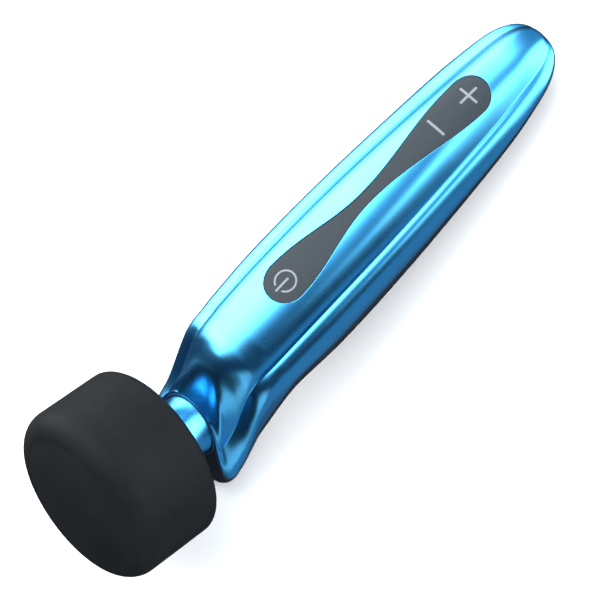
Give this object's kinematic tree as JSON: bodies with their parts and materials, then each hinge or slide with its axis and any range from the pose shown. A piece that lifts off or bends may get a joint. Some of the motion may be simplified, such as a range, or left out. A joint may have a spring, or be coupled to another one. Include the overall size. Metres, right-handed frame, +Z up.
{
  "type": "handheld wand massager",
  "caption": "Cordless handheld wand massager: a curved two-shell handle with press keys, a flexing neck and a round padded head with a vibration motor.",
  "frame": {"origin": "middle of the bounding box on the surface it lies on, in the plane of symmetry", "axes": "+Z up with the massager lying on its underside, +X towards the head, +Y to the left of the plane of symmetry; the key panel faces up"},
  "size_m": [0.2208, 0.06, 0.0719],
  "materials": {
    "plated_blue": "mirror-like electroplated metallic blue",
    "gloss_black": "glossy black moulded plastic",
    "socket_navy": "dark blue moulded plastic, glossy",
    "panel_grey": "matte grey with a thin glossy border",
    "head_silicone": "matte charcoal silicone",
    "black_plastic": "moulded, matte",
    "black_rubber": "moulded rubber",
    "plunger_white": "moulded, matte",
    "cell_wrap": "blue heat-shrunk film over the metal can",
    "board_green": "solder mask",
    "red_wire": "wire insulation",
    "steel": "plated steel",
    "magnet_grey": "sintered ferrite",
    "weight_steel": "sintered heavy metal",
    "brass": "plain",
    "copper": "enamelled copper wire and brush copper"
  },
  "bodies": {
    "handle": {"upper_shell": "plated_blue", "lower_shell": "gloss_black", "control_panel": "panel_grey", "neck_socket": "socket_navy", "battery_cell": "cell_wrap", "battery_cradle": "black_plastic", "battery_tabs": "steel", "battery_leads": "red_wire", "main_board": "board_green", "board_chips": "black_plastic", "board_screws": "steel", "tact_switches": "black_plastic", "motor_leads": "black_rubber", "charge_jack": "black_plastic", "jack_seal": "black_rubber", "charge_leads": "red_wire", "shell_screws": "steel"},
    "neck": {"flex_neck": "black_rubber"},
    "head": {"neck_collar": "plated_blue", "head_base": "black_plastic", "collar_screws": "steel", "head_screws": "steel", "head_cup": "black_plastic", "head_cover": "head_silicone", "motor_can": "steel", "motor_end_cap": "plunger_white", "motor_magnets": "magnet_grey", "motor_bushings": "brass", "motor_brushes": "copper", "motor_terminals": "steel", "motor_mount": "black_rubber", "head_leads": "red_wire"},
    "rotor": {"rotor_shaft": "steel", "armature": "steel", "windings": "copper", "commutator": "brass", "eccentric_weight": "weight_steel"},
    "power_button": {"power_key": "panel_grey", "power_plunger": "plunger_white"},
    "minus_button": {"minus_key": "panel_grey", "minus_plunger": "plunger_white"},
    "plus_button": {"plus_key": "panel_grey", "plus_plunger": "plunger_white"}
  },
  "joints": [
    {"name": "neck_pitch", "type": "hinge", "parent": "handle", "child": "neck", "pos_m": [0.05589, 0, 0.02011], "axis": [0, 1, 0], "range_deg": [-6, 6], "stiffness_Nm_per_rad": 4, "deforming": ["flex_neck"]},
    {"name": "neck_yaw", "type": "hinge", "parent": "neck", "child": "head", "pos_m": [0.05589, 0, 0.02011], "axis": [-0.6361, 0, 0.7716], "range_deg": [-6, 6], "stiffness_Nm_per_rad": 4, "deforming": ["flex_neck"]},
    {"name": "motor_spin", "type": "hinge", "parent": "head", "child": "rotor", "pos_m": [0.069, 0, 0.03093], "axis": [0.7716, 0, 0.6361], "continuous": true},
    {"name": "power_press", "type": "slide", "parent": "handle", "child": "power_button", "axis": [0.1478, 0, -0.989], "range_m": [0, 0.0004], "stiffness_N_per_m": 4000},
    {"name": "minus_press", "type": "slide", "parent": "handle", "child": "minus_button", "axis": [0.1478, 0, -0.989], "range_m": [0, 0.0004], "stiffness_N_per_m": 4000},
    {"name": "plus_press", "type": "slide", "parent": "handle", "child": "plus_button", "axis": [0.1478, 0, -0.989], "range_m": [0, 0.0004], "stiffness_N_per_m": 4000}
  ]
}
